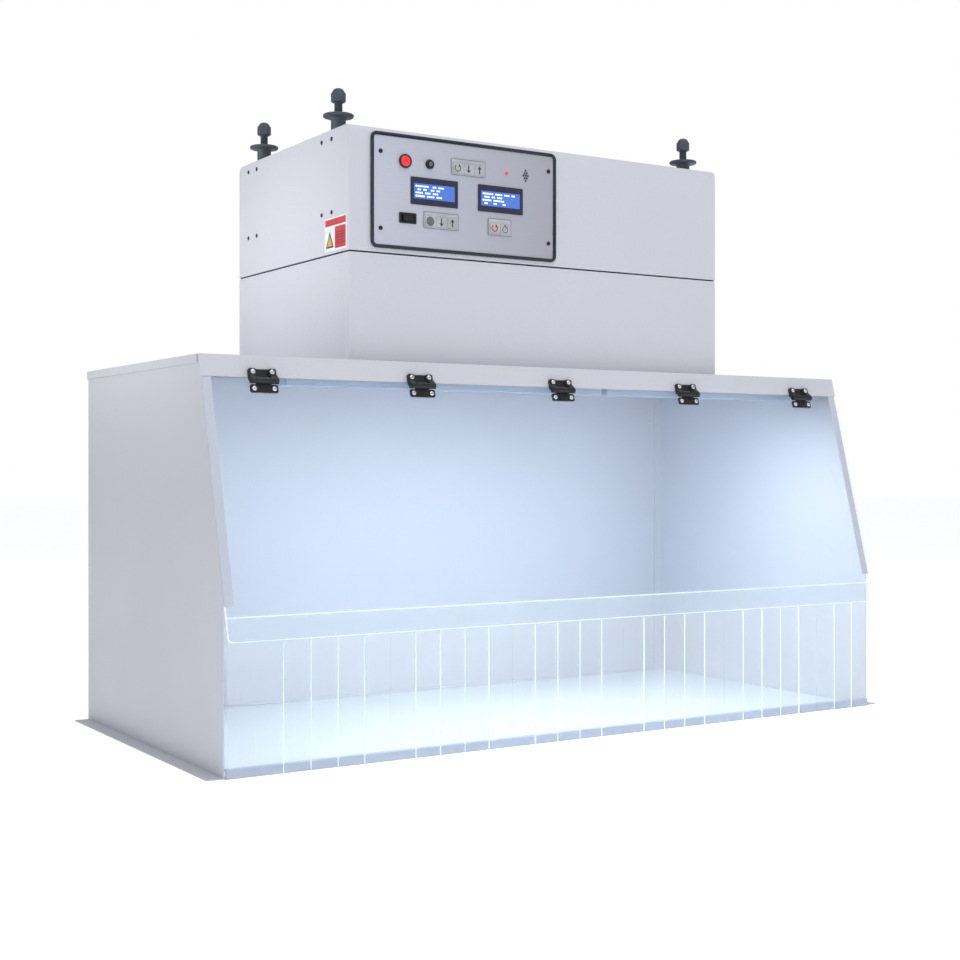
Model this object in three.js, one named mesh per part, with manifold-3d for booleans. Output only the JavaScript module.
// A bench-top solder fume hood: a sheet-steel work enclosure with a hinged clear door and a strip
// curtain, and on its roof a filter chamber and a blower housing that four hand nuts clamp down.
// Millimetres. X runs left to right, Y front to back, Z up. The origin is the middle of the base.
import * as THREE from "three";
import { mergeVertices } from "three/addons/utils/BufferGeometryUtils.js";
import Module from "manifold-3d";

const wasm = await Module();
wasm.setup();

// ---------------------------------------------------------------------------------------------
// Driving dimensions
// ---------------------------------------------------------------------------------------------
const SHEET = 1.5; // folded sheet steel
const GAP = 0.3; // air between two pieces that rest on each other
const SLIP = GAP + SHEET; // one sheet lying over another

const HOOD = {
  width: 1270,
  depth: 610,
  height: 605,
  kneeHeight: 243, // where the upright front edge turns back into the slope
  topSetback: 96, // how far behind the base the slope ends at the roof
  baseFlange: 25,
  frontFlange: 13.5,
  innerFlange: 16,
  sideLip: 13.5,
  sideLipCut: [5, 9], // how far behind the slope it starts, at its top and at its foot
  edgeSetback: 5, // of the side panels' upright front edge, below the knee
  frontLip: 34,
  sillHeight: 13,
  sillDepth: 14,
};
const DOOR = { thickness: 4.5, clearance: 0.5, top: 40, bottom: 426, sideGap: 1, corner: 6 };
const CURTAIN = { thickness: 1.5, top: 228, bottom: 1.2, sideGap: 4, standOff: 1.7 };
const HINGE = {
  count: 5, pitch: 269.5, width: 45, axisDrop: 42, axisHeight: 10.2, radius: 4.8,
  split: 12.4, // the middle knuckle ends here, on each side of the hinge's centre
};
// Each leaf has two ears for its screws and a lower web between them. Heights are up from the axis.
const UPPER_LEAF = {
  width: 44.5, ear: 12.5, low: 6.8, high: 20, rise: 5, webLow: 8, webRise: 2.2, armLow: 2.5, armHigh: 11,
};
const LOWER_LEAF = {
  width: 45, ear: 12, low: -17.9, high: -5.3, rise: 2.6, webHigh: -8, webRise: 2, neckHigh: -2, neckRise: 3,
  boss: { x: 3.4, y: -8.8, radius: 3.2, bore: 1.5, rise: 4.4 },
  rib: { x: -7.2, width: 1.2, high: -5, rise: 3.9 },
};
const LIGHT_BAR = { depth: 40, height: 40, front: 110, rim: 4, recess: 2, ends: [[-488, 105], [117, 600]] };

const BOX = { width: 746, front: 125.5, back: 556.5, seam: 778, top: 977.7, bend: 12 };
const GASKET = { thickness: 2, width: 8, inset: 1.5 };
const FILTER = { width: 690, margin: 3, rim: 14, prefilter: 24, carbon: 50, hepa: 78, ledge: 30 };
const STUD = { x: 356.2, y: 145, radius: 6.8 };
const ACORN = { hex: 12, dome: 8.8, bottom: 1025, shoulder: 1038.5, top: 1048 };
const HAND_NUT = { hub: 12, disc: 25, bore: 7.2, discBottom: 1000.5, discTop: 1005.5, edge: 1.5 };
const IMPELLER = { radius: 150, bottom: 800, height: 86, blades: 9, inlet: 95, plate: 3, sweep: 0.55 };
const SHAFT = { radius: 7, hub: 24, hubHeight: 30 };
const DECK = { lift: 4, plate: 2, coneFoot: 12, coneWall: 2, coneRise: 6, clearance: 4 };
const MOTOR = { radius: 58, bottom: 896, height: 62, chamfer: 8, span: 400, arm: 60, foot: 24, plate: 3 };
const EXHAUST = { width: 380, depth: 230, rim: 12, corner: 6, slots: 17, slotWidth: 9 };
const INLET_GRILLE = { width: 700, depth: 372, rim: 14, bars: 13, barWidth: 5, height: 7 };

const PANEL = { width: 354.5, height: 184, x: -158.85, z: 877.8, trim: 5.5, corner: 11, plate: 2 };
const LCD = {
  width: 87.9, height: 44, z: 882, step: 4, rim: 1.2, depth: 12, viewWidth: 77, viewHeight: 25,
};
const LCD_X = { left: -220.35, right: -93.5 };
const KEY = { size: 17, travel: 0.4, pitch: 20.8, corner: 1.5, drop: -2 }; // drop: low in their frame
const KEYPADS = [
  { name: "upper", x: -156.3, z: 928, width: 65.3, height: 26.7, keys: ["reset", "down", "up"] },
  { name: "lower", x: -208, z: 836.8, width: 65.3, height: 26.7, keys: ["mesh", "down", "up"] },
  { name: "timer", x: -95.6, z: 836, width: 45.2, height: 28, keys: ["reset", "start"] },
];
const POWER = { x: -274.4, z: 927.1, ring: 11.2, ringHeight: 3.2, step: 1.4, button: 8.6, height: 5 };
const FUSE = { x: -229.2, z: 926.7, flange: 7.8, cap: 6.3, height: 5 };
const ROCKER = { x: -269.8, z: 836.6, width: 31, height: 17, step: 4, wall: 3.6, depth: 15, tilt: 9 };
const ALARM_LED = { x: -81, z: 927, radius: 2.6, height: 2.4 };
const SOUNDER = { x: -43, z: 927.2, holeRadius: 1.4, stepX: 4.4, stepZ: 4.2 };
const POWER_INLET = {
  x: 250, z: 840, width: 48, height: 28, flange: 2.5, wall: 1.8, depth: 20,
  socketWidth: 24, socketHeight: 16.5,
};
const PIERCE = 5; // how far a cutting tool runs past the sheet that it pierces

// ---------------------------------------------------------------------------------------------
// Values worked out from the driving dimensions
// ---------------------------------------------------------------------------------------------
const slope = Math.atan2(HOOD.topSetback, HOOD.height - HOOD.kneeHeight); // from upright
const halfWidth = HOOD.width / 2;
const wallOuter = halfWidth - SLIP; // the side panels stand inside the roof's lips
const wallInner = wallOuter - SHEET;
const roofUnder = HOOD.height - SHEET;
const backInner = HOOD.depth - SLIP - SHEET;
const boxHalf = BOX.width / 2;
const boxMiddle = (BOX.front + BOX.back) / 2;
const filterDepth = BOX.back - BOX.front - 2 * (SHEET + FILTER.margin);
const slopeY = (z) => HOOD.topSetback - (HOOD.height - z) * Math.tan(slope);
const doorOuter = DOOR.clearance + DOOR.thickness;
const doorFrontY =
  HOOD.topSetback - DOOR.bottom * Math.sin(slope) - doorOuter * Math.cos(slope);

// ---------------------------------------------------------------------------------------------
// Materials
// ---------------------------------------------------------------------------------------------
const finish = (color, roughness, metalness = 0, opacity = 1) =>
  new THREE.MeshStandardMaterial({ color, roughness, metalness, opacity, transparent: opacity < 1 });
const MATERIAL = {
  powderCoat: finish(0xd9dbe0, 0.55, 0.1),
  trayCoat: finish(0xf2f6f8, 0.4, 0.1),
  acrylic: finish(0xd5e6f5, 0.05, 0, 0.3),
  vinyl: finish(0xe2f1fa, 0.15, 0, 0.35),
  blackPlastic: finish(0x1b1c1e, 0.45),
  blackRubber: finish(0x24272b, 0.7),
  knobPlastic: finish(0x3c434c, 0.5),
  brushedPlate: finish(0xb3b5bd, 0.35, 0.9),
  bezel: finish(0x232427, 0.4),
  keyFilm: finish(0xc3c4cb, 0.5),
  redLens: finish(0xe2353d, 0.25),
  zinc: finish(0xb9bcc0, 0.4, 0.9),
  filterMedia: finish(0xeceee8, 0.95),
  carbon: finish(0x2a2a2a, 0.95),
  aluminium: finish(0xc8cbcf, 0.4, 0.9),
  motorPaint: finish(0x3a3d42, 0.5, 0.4),
  lampBody: finish(0xe9eef2, 0.4),
};

// ---------------------------------------------------------------------------------------------
// Shape helpers
// ---------------------------------------------------------------------------------------------
const ACROSS = new THREE.Matrix4().makeBasis(
  new THREE.Vector3(0, 1, 0),
  new THREE.Vector3(0, 0, 1),
  new THREE.Vector3(1, 0, 0),
);

function box(x, y, z) {
  return new THREE.BoxGeometry(x[1] - x[0], y[1] - y[0], z[1] - z[0]).translate(
    (x[0] + x[1]) / 2,
    (y[0] + y[1]) / 2,
    (z[0] + z[1]) / 2,
  );
}

function outline(points) {
  return new THREE.Shape(points.map(([a, b]) => new THREE.Vector2(a, b)));
}

// A flat plate: an outline in X and Y, lifted from z0 to z1.
function plate(shape, z0, z1, curveSegments = 4) {
  const lifted = { depth: z1 - z0, bevelEnabled: false, curveSegments };
  return new THREE.ExtrudeGeometry(shape, lifted).translate(0, 0, z0);
}

// A folded section: an outline in Y and Z, run along X from x0 to x1.
function section(shape, x0, x1, curveSegments = 5) {
  const run = { depth: x1 - x0, bevelEnabled: false, curveSegments };
  return new THREE.ExtrudeGeometry(shape, run).applyMatrix4(ACROSS).translate(x0, 0, 0);
}

function rounded(path, width, height, r, cx = 0, cy = 0) {
  const [x0, x1, y0, y1] = [cx - width / 2, cx + width / 2, cy - height / 2, cy + height / 2];
  path.moveTo(x0 + r, y0).lineTo(x1 - r, y0).absarc(x1 - r, y0 + r, r, -Math.PI / 2, 0);
  path.lineTo(x1, y1 - r).absarc(x1 - r, y1 - r, r, 0, Math.PI / 2);
  path.lineTo(x0 + r, y1).absarc(x0 + r, y1 - r, r, Math.PI / 2, Math.PI);
  path.lineTo(x0, y0 + r).absarc(x0 + r, y0 + r, r, Math.PI, 1.5 * Math.PI);
  return path;
}
const roundedShape = (...size) => rounded(new THREE.Shape(), ...size);
const roundedHole = (...size) => rounded(new THREE.Path(), ...size);

// A round hole drawn in so many arcs: one arc is coarse enough for a small hole.
function roundHole(r, cx, cy, arcs = 1) {
  const hole = new THREE.Path();
  for (let i = 0; i < arcs; i++)
    hole.absarc(cx, cy, r, (-2 * Math.PI * i) / arcs, (-2 * Math.PI * (i + 1)) / arcs, true);
  return hole;
}

// A turned piece about Z: [radius, height] points, from the axis at the bottom to the axis on top.
function turned(points, segments = 24) {
  const profile = points.map(([r, z]) => new THREE.Vector2(r, z));
  return new THREE.LatheGeometry(profile, segments).rotateX(Math.PI / 2);
}
const rod = (r, z0, z1, segments) => turned([[0, z0], [r, z0], [r, z1], [0, z1]], segments);

function solidOf(geometry) {
  const bare = new THREE.BufferGeometry();
  bare.setAttribute("position", geometry.getAttribute("position"));
  if (geometry.index) bare.setIndex(geometry.index);
  const merged = mergeVertices(bare, 1e-4);
  return new wasm.Manifold(
    new wasm.Mesh({
      numProp: 3,
      vertProperties: merged.attributes.position.array,
      triVerts: new Uint32Array(merged.index.array),
    }),
  );
}

function geometryOf(solid) {
  const made = solid.getMesh();
  const geometry = new THREE.BufferGeometry();
  geometry.setAttribute("position", new THREE.BufferAttribute(made.vertProperties, 3));
  geometry.setIndex(new THREE.BufferAttribute(made.triVerts, 1));
  geometry.computeVertexNormals();
  return geometry;
}

const join = (...pieces) => geometryOf(pieces.map(solidOf).reduce((a, b) => a.add(b)));
const cut = (piece, ...tools) =>
  geometryOf(tools.map(solidOf).reduce((left, tool) => left.subtract(tool), solidOf(piece)));

function mesh(name, geometry, material) {
  const made = new THREE.Mesh(geometry, material);
  made.name = name;
  return made;
}

// ---------------------------------------------------------------------------------------------
// Work enclosure: tray, two side panels, back panel, roof, lamps
// ---------------------------------------------------------------------------------------------
function slopedSheet(shape, inner, outer) {
  // Drawn in the slope's own plane: X across, Y up the slope from the roof's edge, Z outwards.
  return plate(shape, inner, outer, 3)
    .rotateX(Math.PI / 2 - slope)
    .translate(0, HOOD.topSetback, HOOD.height);
}

function sidePanel() {
  const top = roofUnder - GAP;
  const rear = backInner - GAP;
  const { kneeHeight: knee, edgeSetback: front } = HOOD;
  const wall = outline([
    [front, 0], [rear, 0], [rear, top], [slopeY(top), top], [0, knee], [front, knee],
  ]);
  const slopeTop = -(HOOD.height - top) / Math.cos(slope) - SHEET;
  const slopeEnd = -(HOOD.height - HOOD.kneeHeight) / Math.cos(slope);
  const flangeMiddle = wallOuter - HOOD.frontFlange / 2 - SHEET / 2;
  const frontFlange = roundedShape(
    HOOD.frontFlange + SHEET, slopeTop - slopeEnd, 3, flangeMiddle, (slopeTop + slopeEnd) / 2,
  );
  const edge = [wallInner - HOOD.innerFlange, wallOuter];
  const footX = [wallInner, wallOuter + HOOD.baseFlange];
  const holes = [10, rear / 2, rear - 10].map((y) =>
    rod(2.75, -SHEET, 2 * SHEET, 12).translate(wallOuter + HOOD.baseFlange - 11, y, 0),
  );
  const folded = join(
    section(wall, wallInner, wallOuter),
    slopedSheet(frontFlange, -SHEET, 0),
    box(edge, [slopeY(top) + 8, rear], [top - SHEET, top]),
    box(edge, [rear - SHEET, rear], [SLIP + 1, top]),
    box(footX, [front, rear], [0, SHEET]),
  );
  return cut(folded, ...holes);
}

// A mirrored geometry has its triangles turned round, so that its faces still point out.
function mirrored(geometry) {
  const flipped = geometry.clone().scale(-1, 1, 1);
  const index = flipped.index.array;
  for (let i = 0; i < index.length; i += 3) [index[i], index[i + 1]] = [index[i + 1], index[i]];
  return flipped;
}

function workTray() {
  const half = wallInner - GAP;
  const back = backInner - HOOD.innerFlange / 2;
  return join(
    box([-half, half], [0.5, back], [0, SHEET]),
    box([-half, half], [0.5, 0.5 + SHEET], [0, HOOD.sillHeight]),
    box([-half, half], [0.5, HOOD.sillDepth], [HOOD.sillHeight - SHEET, HOOD.sillHeight]),
  );
}

function backPanel() {
  const half = wallOuter;
  const y = [backInner, backInner + SHEET];
  return join(
    box([-half, half], y, [0, roofUnder - GAP]),
    box([-half + 20, half - 20], [backInner - HOOD.innerFlange, y[1]], [SLIP, SLIP + SHEET]),
  );
}

// The roof is one sheet, folded down the slope in front and down the back, with a lip on each side.
function topCover() {
  const { height: top, depth, sideLip, sideLipCut: [cutTop, cutFoot], frontLip } = HOOD;
  const lipEnd = top - frontLip * Math.cos(slope);
  const lipFace = (z, lift) => slopeY(z) - lift / Math.cos(slope);
  const fold = outline([
    [depth, top - sideLip], [depth, top], [lipFace(top, SLIP), top], [lipFace(lipEnd, SLIP), lipEnd],
    [lipFace(lipEnd, GAP), lipEnd], [lipFace(roofUnder, GAP), roofUnder],
    [depth - SHEET, roofUnder], [depth - SHEET, top - sideLip],
  ]);
  const edge = outline([
    [slopeY(roofUnder) + cutTop, roofUnder + SHEET / 2],
    [depth - SHEET / 2, roofUnder + SHEET / 2],
    [depth - SHEET / 2, top - sideLip], [slopeY(top - sideLip) + cutFoot, top - sideLip],
  ]);
  const folded = join(
    section(fold, -halfWidth, halfWidth),
    section(edge, halfWidth - SHEET, halfWidth),
    section(edge, -halfWidth, -halfWidth + SHEET),
  );
  const openX = boxHalf - FILTER.ledge - 8;
  const openY = [BOX.front + FILTER.ledge, BOX.back - FILTER.ledge];
  return cut(folded, box([-openX, openX], openY, [roofUnder - 9, top + 9]));
}

function lightBar([x0, x1]) {
  const { depth, height, front, rim, recess } = LIGHT_BAR;
  const top = roofUnder - GAP;
  const body = box([x0, x1], [front, front + depth], [top - height, top]);
  const lens = [front + rim, front + depth - rim];
  const lensZ = [top - height - PIERCE, top - height + recess];
  return cut(body, box([x0 + 2 * rim, x1 - 2 * rim], lens, lensZ));
}

function inletGrille() {
  const { width, depth, rim, bars, barWidth, height } = INLET_GRILLE;
  const z = [roofUnder - GAP - height, roofUnder - GAP];
  const [x0, y0] = [-width / 2, boxMiddle - depth / 2];
  const pieces = [ring(width, [y0, y0 + depth], z, rim)];
  for (let i = 1; i <= bars; i++) {
    const y = y0 + (depth * i) / (bars + 1);
    const barY = [y - barWidth / 2, y + barWidth / 2];
    pieces.push(box([x0 + rim / 2, -x0 - rim / 2], barY, [z[0] + 1, z[1] - 1]));
  }
  return join(...pieces);
}

// ---------------------------------------------------------------------------------------------
// Filter chamber and its filters
// ---------------------------------------------------------------------------------------------
const chamberBottom = HOOD.height + GAP;
const chamberTop = BOX.seam - GASKET.thickness / 2 - GAP;
const housingBottom = BOX.seam + GASKET.thickness / 2 + GAP;
const boxY = [BOX.front, BOX.back];

// A frame round the box's middle: four walls of one thickness.
function ring(width, y, z, wall) {
  return cut(
    box([-width / 2, width / 2], y, z),
    box([-width / 2 + wall, width / 2 - wall], [y[0] + wall, y[1] - wall], [z[0] - 1, z[1] + 1]),
  );
}

function filterChamber() {
  return join(
    ring(BOX.width, boxY, [chamberBottom, chamberTop], SHEET),
    ring(BOX.width, boxY, [chamberBottom, chamberBottom + SHEET], FILTER.ledge),
  );
}

function chamberGasket() {
  const { thickness, width, inset } = GASKET;
  const y = [BOX.front + inset, BOX.back - inset];
  const z = [BOX.seam - thickness / 2, BOX.seam + thickness / 2];
  return ring(BOX.width - 2 * inset, y, z, width);
}

// A filter is a frame with its medium set back by a few millimetres on both faces.
function filterPack(z0, height, recess) {
  const { width, rim } = FILTER;
  const [x, y] = [width / 2, filterDepth / 2];
  const block = box([-x, x], [boxMiddle - y, boxMiddle + y], [z0, z0 + height]);
  const face = [boxMiddle - y + rim, boxMiddle + y - rim];
  const pocket = (z) => box([-x + rim, x - rim], face, z);
  return cut(
    block,
    pocket([z0 - PIERCE, z0 + recess]),
    pocket([z0 + height - recess, z0 + height + PIERCE]),
  );
}

// ---------------------------------------------------------------------------------------------
// Blower housing, deck, motor, impeller, exhaust grille
// ---------------------------------------------------------------------------------------------
const deckBottom = housingBottom + DECK.lift;

function housingProfile(inset) {
  const [y0, y1, top] = [BOX.front + inset, BOX.back - inset, BOX.top - inset];
  const r = BOX.bend - inset;
  const shape = new THREE.Shape().moveTo(y0, housingBottom - (inset ? 1 : 0));
  shape.lineTo(y1, housingBottom - (inset ? 1 : 0)).lineTo(y1, top - r);
  shape.absarc(y1 - r, top - r, r, 0, Math.PI / 2);
  shape.lineTo(y0 + r, top).absarc(y0 + r, top - r, r, Math.PI / 2, Math.PI);
  return shape;
}

function studPlaces() {
  const places = [];
  for (const [row, y] of [["front", -STUD.y], ["rear", STUD.y]])
    for (const [side, x] of [["left", -STUD.x], ["right", STUD.x]])
      places.push({ name: side + "_" + row, x, y: boxMiddle + y });
  return places;
}

function blowerHousing() {
  const shell = cut(
    section(housingProfile(0), -boxHalf, boxHalf),
    section(housingProfile(SHEET), -boxHalf + SHEET, boxHalf - SHEET),
  );
  const around = (middle, size) => [middle - size / 2, middle + size / 2];
  const through = (face) => [face - PIERCE, face + PIERCE];
  const { x, z, wall, socketWidth, socketHeight } = POWER_INLET;
  const [panelX, panelZ] = [PANEL.width, PANEL.height].map((size) => size - 4 * PANEL.trim);
  const [grilleX, grilleY] = [EXHAUST.width, EXHAUST.depth].map((size) => size - 2 * EXHAUST.rim);
  const [socketX, socketZ] = [socketWidth, socketHeight].map((size) => size + 2 * wall + 2);
  const openings = [
    box(around(PANEL.x, panelX), through(BOX.front), around(PANEL.z, panelZ)),
    box(around(0, grilleX), around(boxMiddle, grilleY), through(BOX.top)),
    box(around(x, socketX), through(BOX.back), around(z, socketZ)),
  ];
  const studHoles = studPlaces().map((place) =>
    rod(STUD.radius + GAP, BOX.top - PIERCE, BOX.top + PIERCE, 20).translate(place.x, place.y, 0),
  );
  return cut(shell, ...openings, ...studHoles);
}

function exhaustGrille() {
  const { width, depth, rim, corner, slots, slotWidth } = EXHAUST;
  const pitch = (width - 3 * rim) / slots;
  const slotDepth = (depth - 5 * rim) / 2;
  const through = [BOX.top, BOX.top + PIERCE];
  const openings = [];
  for (let i = 0; i < slots; i++)
    for (const y of [-slotDepth - rim / 2, rim / 2]) {
      const x = (i - (slots - 1) / 2) * pitch;
      openings.push(box([x - slotWidth / 2, x + slotWidth / 2], [y, y + slotDepth], through));
    }
  const sheet = plate(roundedShape(width, depth, corner), BOX.top + GAP, BOX.top + SLIP, 2);
  return cut(sheet, ...openings).translate(0, boxMiddle, 0);
}

// The deck closes the chamber off below the blower; its inlet cone leads into the impeller's eye.
function blowerDeck() {
  const [x, y] = [FILTER.width / 2, filterDepth / 2 + FILTER.margin - GAP];
  const mouth = IMPELLER.inlet - DECK.clearance;
  const inner = mouth - DECK.coneWall;
  const sheet = cut(
    box([-x, x], [boxMiddle - y, boxMiddle + y], [deckBottom, deckBottom + DECK.plate]),
    rod(mouth, deckBottom - PIERCE, deckBottom + PIERCE, 32).translate(0, boxMiddle, 0),
  );
  const lip = IMPELLER.bottom + DECK.coneRise;
  const foot = mouth + DECK.coneFoot;
  const middle = deckBottom + DECK.plate / 2;
  const cone = turned(
    [[foot, middle], [mouth, lip], [inner, lip], [inner, deckBottom], [foot, deckBottom], [foot, middle]],
    32,
  );
  return join(sheet, cone.translate(0, boxMiddle, 0));
}

function impeller() {
  const { radius, bottom, height, blades, inlet, plate: sheet, sweep } = IMPELLER;
  const top = bottom + height;
  const frontRing = turned(
    [[inlet, bottom], [radius, bottom], [radius, bottom + sheet], [inlet, bottom + sheet], [inlet, bottom]],
    36,
  );
  const pieces = [
    rod(radius, top - sheet, top, 36),
    frontRing,
    rod(SHAFT.hub, top - SHAFT.hubHeight, top + sheet / 2, 20),
    rod(SHAFT.radius, top, MOTOR.bottom - 1, 16),
  ];
  for (let i = 0; i < blades; i++) {
    const blade = box([inlet + 4, radius - 6], [-1, 1], [bottom + 1, top - 1]);
    blade.translate(-inlet, 0, 0).rotateZ(-sweep).translate(inlet, 0, 0);
    pieces.push(blade.rotateZ((i * 2 * Math.PI) / blades));
  }
  return join(...pieces).translate(0, boxMiddle, 0);
}

// The motor hangs over the impeller on a bridge, whose two legs stand on the deck.
function blowerMotor() {
  const { radius, bottom, height, chamfer, span, arm, foot, plate: sheet } = MOTOR;
  const deckTop = deckBottom + DECK.plate + GAP;
  const [top, armY] = [bottom + height, [-arm / 2, arm / 2]];
  const pieces = [
    box([-span / 2, span / 2], armY, [bottom, bottom + sheet]),
    turned(
      [[0, bottom], [radius, bottom], [radius, top - chamfer], [radius - chamfer, top],
        [SHAFT.hub, top], [SHAFT.hub, top - sheet], [0, top - sheet]],
      32,
    ),
  ];
  for (const side of [-1, 1]) {
    const x = (side * span) / 2;
    const footX = [x, x + side * foot].sort((a, b) => a - b);
    pieces.push(
      box([x - sheet / 2, x + sheet / 2], armY, [deckTop, bottom + sheet]),
      box(footX, armY, [deckTop, deckTop + sheet]),
    );
  }
  return join(...pieces).translate(0, boxMiddle, 0);
}

function powerInlet() {
  const { x, z, width, height, flange, wall, socketWidth, socketHeight, depth } = POWER_INLET;
  const face = BOX.back + GAP;
  const across = (size) => [-size / 2, size / 2];
  const body = join(
    box(across(width), [face, face + flange], across(height)),
    box(across(socketWidth + 2 * wall), [face - depth, face + 1], across(socketHeight + 2 * wall)),
  );
  const socket = box(across(socketWidth), [face - depth + wall, face + PIERCE], across(socketHeight));
  return cut(body, socket).translate(x, 0, z);
}

// ---------------------------------------------------------------------------------------------
// Clamp studs and hand nuts
// ---------------------------------------------------------------------------------------------
function clampStud() {
  const { hex, dome, bottom, shoulder, top } = ACORN;
  const foot = chamberBottom + SHEET + GAP;
  const rise = top - shoulder;
  const acorn = turned(
    [[0, bottom], [hex, bottom], [hex, shoulder], [dome, shoulder], [dome * 0.86, shoulder + rise * 0.5],
      [dome * 0.5, shoulder + rise * 0.86], [0, top]],
    6,
  );
  return join(rod(STUD.radius, foot, bottom + 2, 16), acorn);
}

function handNut() {
  const { hub, disc, discBottom, discTop, bore, edge } = HAND_NUT;
  const bottom = BOX.top + GAP;
  const hubProfile = [[bore, bottom], [hub, bottom], [hub, discBottom - 1], [hub + 2, discBottom]];
  const discProfile = [
    [disc - edge, discBottom], [disc, discBottom + edge], [disc, discTop - edge],
    [disc - edge, discTop], [bore, discTop], [bore, bottom],
  ];
  return turned([...hubProfile, ...discProfile], 20);
}

// ---------------------------------------------------------------------------------------------
// Control panel, drawn in its own plane: X across, Y up, Z outwards from the housing's front
// ---------------------------------------------------------------------------------------------
const onPanel = (item) => [item.x - PANEL.x, item.z - PANEL.z];
const plateTop = GAP + PANEL.plate;

function panelTrim() {
  const shape = roundedShape(PANEL.width, PANEL.height, PANEL.corner);
  const { width, height, trim, corner } = PANEL;
  shape.holes.push(roundedHole(width - 2 * trim, height - 2 * trim, corner - 6));
  return plate(shape, GAP, plateTop + 2, 4);
}

function sounderHoles() {
  const holes = [];
  for (let row = -2; row <= 2; row++)
    for (let i = 0; i < 3 - Math.abs(row); i++) {
      const x = SOUNDER.x - PANEL.x + (i - (2 - Math.abs(row)) / 2) * SOUNDER.stepX;
      const y = SOUNDER.z - PANEL.z + row * SOUNDER.stepZ;
      holes.push(roundHole(SOUNDER.holeRadius, x, y));
    }
  return holes;
}

function faceplate() {
  const { width, height, trim, corner } = PANEL;
  const inset = trim + GAP;
  const shape = roundedShape(width - 2 * inset, height - 2 * inset, corner - 6.3);
  const window = (part, x) => {
    const size = [part.width - part.step + 2 * GAP, part.height - part.step + 2 * GAP];
    return roundedHole(...size, 1, x - PANEL.x, part.z - PANEL.z);
  };
  shape.holes.push(
    ...Object.values(LCD_X).map((x) => window(LCD, x)),
    window(ROCKER, ROCKER.x),
    roundHole(POWER.ring - POWER.step + GAP, ...onPanel(POWER), 3),
    roundHole(FUSE.cap + GAP, ...onPanel(FUSE), 3),
    roundHole(ALARM_LED.radius + GAP, ...onPanel(ALARM_LED)),
    ...sounderHoles(),
  );
  return plate(shape, GAP, plateTop, 4);
}

function lcdModule() {
  const { width, height, step, rim, depth, viewWidth, viewHeight } = LCD;
  const top = plateTop + GAP;
  const body = join(
    plate(roundedShape(width, height, 1), top, top + rim, 2),
    plate(roundedShape(width - step, height - step, 0.6), top - depth, top + rim / 2, 2),
  );
  return cut(body, plate(roundedShape(viewWidth, viewHeight, 0.5), top, top + PIERCE, 2));
}

function keypadFrame(pad) {
  const shape = roundedShape(pad.width, pad.height, 1.5);
  keyPlaces(pad).forEach(({ x }) =>
    shape.holes.push(roundedHole(KEY.size + 2 * GAP, KEY.size + 2 * GAP, KEY.corner, x, KEY.drop)),
  );
  return plate(shape, plateTop + GAP, plateTop + 1.5, 2);
}

function keyPlaces(pad) {
  return pad.keys.map((name, i) => ({ name, x: (i - (pad.keys.length - 1) / 2) * KEY.pitch }));
}

function keyCap() {
  const bottom = plateTop + GAP + KEY.travel;
  return plate(roundedShape(KEY.size, KEY.size, KEY.corner), bottom, bottom + 1.4, 2);
}

function powerRing() {
  const { ring: r, ringHeight, step, button } = POWER;
  const [top, bore] = [plateTop + GAP, button + GAP];
  const tail = top - LCD.depth;
  return turned(
    [[bore, tail], [r - step, tail], [r - step, top], [r, top], [r, top + ringHeight - 0.8],
      [r - 1, top + ringHeight], [bore, top + ringHeight], [bore, tail]],
    28,
  );
}

function powerButton() {
  const { button, height } = POWER;
  const [tail, crown] = [plateTop - LCD.depth / 2, plateTop + height];
  return turned(
    [[0, tail], [button, tail], [button, crown - 2.2], [button - 1.2, crown - 1], [button / 2, crown - 0.2],
      [0, crown]],
    28,
  );
}

function fuseCap() {
  const { flange, cap, height } = FUSE;
  const [tail, top] = [plateTop - LCD.depth, plateTop + GAP];
  const body = turned(
    [[0, tail], [cap, tail], [cap, top], [flange, top], [flange, top + 2], [cap + 0.6, top + 2.6],
      [cap, top + height], [0, top + height]],
    24,
  );
  const slotX = [-cap * 0.7, cap * 0.7];
  return cut(body, box(slotX, [-0.8, 0.8], [top + height - 1.6, top + height + 1]));
}

function rockerFrame() {
  const { width, height, step, wall, depth } = ROCKER;
  const top = plateTop + GAP;
  const body = join(
    plate(roundedShape(width, height, 1.5), top, top + 1.8, 2),
    plate(roundedShape(width - step, height - step, 1), top - depth, top + 1, 2),
  );
  const pocket = roundedShape(width - 2 * step, height - 2 * (wall - 0.6), 0.5);
  return cut(body, plate(pocket, top - depth + 2, top + PIERCE, 2));
}

// The rocker's outline is seen from its end: a shallow V on top of a pivot.
function rockerSwitch() {
  const { width, height, wall, tilt } = ROCKER;
  const half = width / 2 - wall - 1.6;
  const [rise, dip] = [3.4, 1.8];
  const wing = outline([[-half, -1], [0, -3], [half, -1], [half, rise], [0, dip], [-half, rise]]);
  const lever = plate(wing, -height / 2 + wall, height / 2 - wall).rotateX(Math.PI / 2);
  return lever.rotateY((tilt * Math.PI) / 180).translate(0, 0, plateTop + GAP);
}

function alarmLed() {
  const { radius: r, height } = ALARM_LED;
  const [tail, crown] = [plateTop - PIERCE, plateTop + height];
  return turned([[0, tail], [r, tail], [r, crown - 1.4], [r * 0.6, crown - 0.3], [0, crown]], 16);
}

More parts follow.
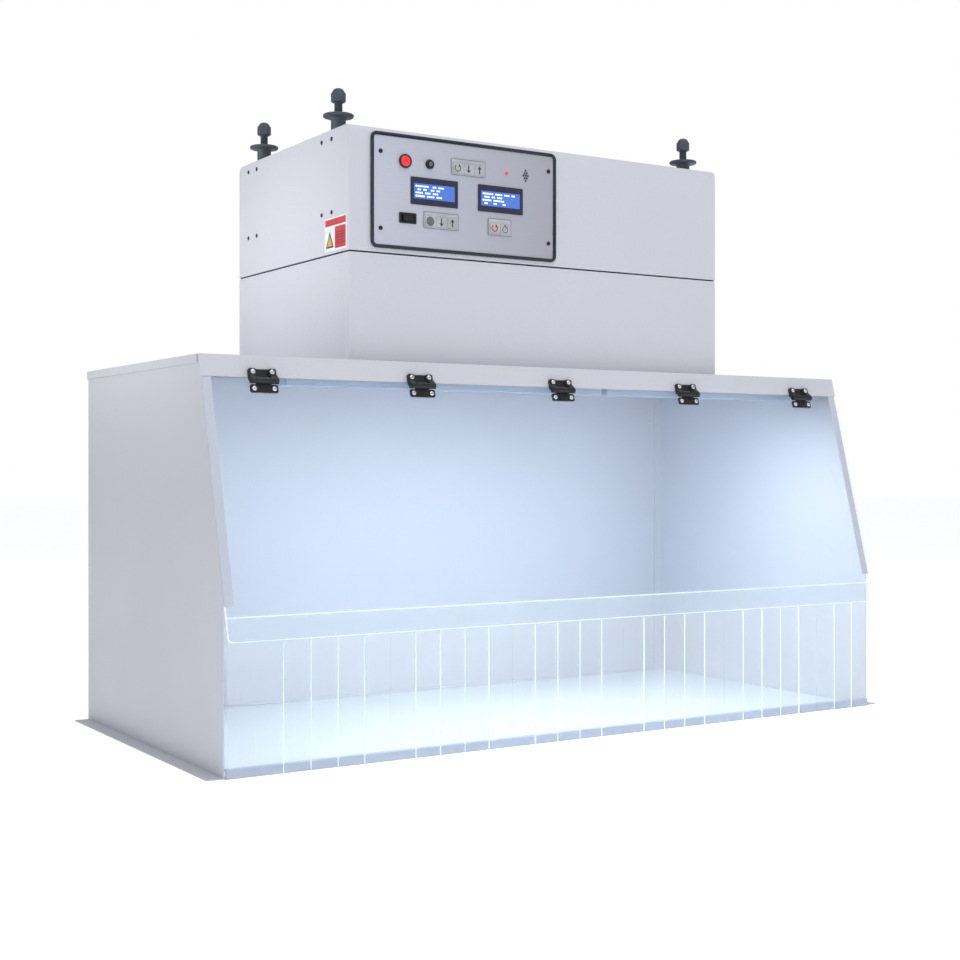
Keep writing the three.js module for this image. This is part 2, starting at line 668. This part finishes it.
function controlPanel() {
  const group = new THREE.Group();
  group.position.set(PANEL.x, BOX.front, PANEL.z);
  group.rotation.x = Math.PI / 2;
  const put = (name, geometry, material, item) => {
    const made = mesh(name, geometry, material);
    if (item) made.position.set(item.x - PANEL.x, item.z - PANEL.z, 0);
    group.add(made);
    return made;
  };
  put("panel_trim", panelTrim(), MATERIAL.blackRubber);
  put("control_faceplate", faceplate(), MATERIAL.brushedPlate);
  put("lcd_left", lcdModule(), MATERIAL.bezel, { x: LCD_X.left, z: LCD.z });
  put("lcd_right", lcdModule(), MATERIAL.bezel, { x: LCD_X.right, z: LCD.z });
  for (const pad of KEYPADS) {
    put("keypad_" + pad.name, keypadFrame(pad), MATERIAL.keyFilm, pad);
    for (const { name, x } of keyPlaces(pad)) {
      const place = { x: pad.x + x, z: pad.z + KEY.drop };
      put("key_" + pad.name + "_" + name, keyCap(), MATERIAL.keyFilm, place);
    }
  }
  put("power_ring", powerRing(), MATERIAL.blackPlastic, POWER);
  put("power_button", powerButton(), MATERIAL.redLens, POWER);
  put("fuse_cap", fuseCap(), MATERIAL.blackPlastic, FUSE);
  put("rocker_frame", rockerFrame(), MATERIAL.blackPlastic, ROCKER);
  put("rocker_switch", rockerSwitch(), MATERIAL.blackPlastic, ROCKER);
  put("alarm_led", alarmLed(), MATERIAL.redLens, ALARM_LED);
  return group;
}

// ---------------------------------------------------------------------------------------------
// Front door, strip curtain and hinges, drawn in the slope's plane: X across, Y up the slope from
// the roof's edge, Z outwards
// ---------------------------------------------------------------------------------------------
function frontDoor() {
  const { top, bottom, sideGap, corner, clearance } = DOOR;
  const shape = roundedShape(HOOD.width - 2 * sideGap, bottom - top, corner, 0, -(top + bottom) / 2);
  return plate(shape, clearance, doorOuter, 4);
}

function stripCurtain() {
  const half = halfWidth - CURTAIN.sideGap;
  const y = [-CURTAIN.standOff - CURTAIN.thickness, -CURTAIN.standOff];
  return box([-half, half], y, [CURTAIN.bottom, CURTAIN.top]);
}

// A knuckle of the hinge barrel, on the hinge's own axis at Y = 0, Z = 0, from x0 to x1.
const knuckle = (x0, x1) =>
  rod(HINGE.radius, x0, x1, 12).applyMatrix4(
    new THREE.Matrix4().makeBasis(
      new THREE.Vector3(0, 0, -1),
      new THREE.Vector3(0, 1, 0),
      new THREE.Vector3(1, 0, 0),
    ),
  );

function ears({ width, ear, low, high, rise }, under) {
  return [-1, 1].map((side) => {
    const shape = roundedShape(ear, high - low, 3, (side * (width - ear)) / 2, (low + high) / 2);
    return plate(shape, under, under + rise, 2);
  });
}

// The upper leaf's two arms ramp up from its ears to the barrel's outer knuckles.
function upperLeaf() {
  const { width, high, rise, webLow, webRise, armLow, armHigh } = UPPER_LEAF;
  const { radius: r, axisHeight, split } = HINGE;
  const under = SLIP + GAP - axisHeight;
  const ramp = outline([
    [armLow, under], [armHigh, under], [armHigh, under + rise], [armLow + 1, 0.7 * r], [0, 0.96 * r],
    [0, 0], [armLow, 0],
  ]);
  const pieces = ears(UPPER_LEAF, under);
  pieces.push(box([2 - width / 2, width / 2 - 2], [webLow, high - 0.7], [under, under + webRise]));
  for (const side of [-1, 1]) {
    const armX = [side * (split + GAP), (side * HINGE.width) / 2].sort((a, b) => a - b);
    pieces.push(section(ramp, ...armX), knuckle(...armX));
  }
  return join(...pieces);
}

function lowerLeaf() {
  const { width, low, webHigh, webRise, neckHigh, neckRise, boss, rib } = LOWER_LEAF;
  const { axisHeight, split } = HINGE;
  const under = doorOuter + GAP - axisHeight;
  const upTo = (rise) => [under, under + rise];
  const leaf = join(
    ...ears(LOWER_LEAF, under),
    box([3 - width / 2, width / 2 - 3], [low, webHigh], upTo(webRise)),
    box([-split, split], [low, neckHigh], upTo(neckRise)),
    box([rib.x, rib.x + rib.width], [low, rib.high], upTo(rib.rise)),
    rod(boss.radius, ...upTo(boss.rise), 12).translate(boss.x, boss.y, 0),
    knuckle(-split, split),
  );
  const bore = rod(boss.bore, under + webRise, under + boss.rise + PIERCE, 10);
  return cut(leaf, bore.translate(boss.x, boss.y, 0));
}

function doorGroup() {
  const group = new THREE.Group();
  group.position.set(0, HOOD.topSetback, HOOD.height);
  group.rotation.x = Math.PI / 2 - slope;
  group.add(mesh("front_door", frontDoor(), MATERIAL.acrylic));
  for (let i = 0; i < HINGE.count; i++) {
    const hinge = new THREE.Group();
    hinge.position.set((i - (HINGE.count - 1) / 2) * HINGE.pitch, -HINGE.axisDrop, HINGE.axisHeight);
    hinge.add(mesh("hinge_upper_" + (i + 1), upperLeaf(), MATERIAL.blackPlastic));
    hinge.add(mesh("hinge_lower_" + (i + 1), lowerLeaf(), MATERIAL.blackPlastic));
    group.add(hinge);
  }
  return group;
}

// ---------------------------------------------------------------------------------------------
// The whole hood
// ---------------------------------------------------------------------------------------------
const hood = new THREE.Group();
const rightPanel = sidePanel();
const filterBottom = chamberBottom + SHEET + GAP;
const carbonBottom = filterBottom + FILTER.prefilter + GAP;
const hepaBottom = carbonBottom + FILTER.carbon + GAP;
hood.add(
  mesh("work_tray", workTray(), MATERIAL.trayCoat),
  mesh("right_side_panel", rightPanel, MATERIAL.powderCoat),
  mesh("left_side_panel", mirrored(rightPanel), MATERIAL.powderCoat),
  mesh("back_panel", backPanel(), MATERIAL.powderCoat),
  mesh("top_cover", topCover(), MATERIAL.powderCoat),
  mesh("light_bar_left", lightBar(LIGHT_BAR.ends[0]), MATERIAL.lampBody),
  mesh("light_bar_right", lightBar(LIGHT_BAR.ends[1]), MATERIAL.lampBody),
  mesh("inlet_grille", inletGrille(), MATERIAL.aluminium),
  mesh("filter_chamber", filterChamber(), MATERIAL.powderCoat),
  mesh("prefilter", filterPack(filterBottom, FILTER.prefilter, 2), MATERIAL.filterMedia),
  mesh("carbon_filter", filterPack(carbonBottom, FILTER.carbon, 4), MATERIAL.carbon),
  mesh("hepa_filter", filterPack(hepaBottom, FILTER.hepa, 6), MATERIAL.filterMedia),
  mesh("chamber_gasket", chamberGasket(), MATERIAL.blackRubber),
  mesh("blower_housing", blowerHousing(), MATERIAL.powderCoat),
  mesh("blower_deck", blowerDeck(), MATERIAL.zinc),
  mesh("blower_motor", blowerMotor(), MATERIAL.motorPaint),
  mesh("impeller", impeller(), MATERIAL.aluminium),
  mesh("exhaust_grille", exhaustGrille(), MATERIAL.powderCoat),
  mesh("power_inlet", powerInlet(), MATERIAL.blackPlastic),
  mesh("strip_curtain", stripCurtain(), MATERIAL.vinyl),
  controlPanel(),
  doorGroup(),
);
for (const { name, x, y } of studPlaces()) {
  const clamp = new THREE.Group();
  clamp.position.set(x, y, 0);
  clamp.add(mesh("clamp_stud_" + name, clampStud(), MATERIAL.knobPlastic));
  clamp.add(mesh("hand_nut_" + name, handNut(), MATERIAL.knobPlastic));
  hood.add(clamp);
}
hood.position.y = -(doorFrontY + HOOD.depth) / 2;

export default hood;
